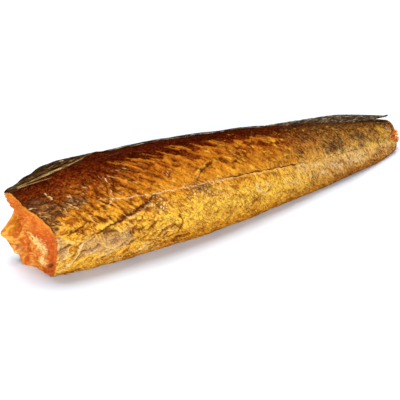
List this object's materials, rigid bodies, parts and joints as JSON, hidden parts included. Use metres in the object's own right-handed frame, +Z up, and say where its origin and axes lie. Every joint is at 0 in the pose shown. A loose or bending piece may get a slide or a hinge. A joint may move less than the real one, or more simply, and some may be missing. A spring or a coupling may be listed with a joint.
{
  "type": "smoked ling",
  "caption": "Smoked fish trunk without head and tail: a long tapering body with golden skin, folded back fins, a hollowed flesh cut in front and a torn tail end.",
  "frame": {"origin": "on the table, under the middle of the fish's bounding box", "axes": "+X along the fish from the nape cut to the tail cut, +Z up, the flank that the picture shows faces -Y"},
  "size_m": [0.4518, 0.0873, 0.09],
  "materials": {
    "skin": "glossy smoked fish skin, golden on the belly and mahogany brown on the back",
    "flesh": "moist orange smoked flesh",
    "fin": "dry olive-brown fin rays and skin"
  },
  "bodies": {
    "root": {"ling_trunk": "skin"}
  },
  "joints": []
}
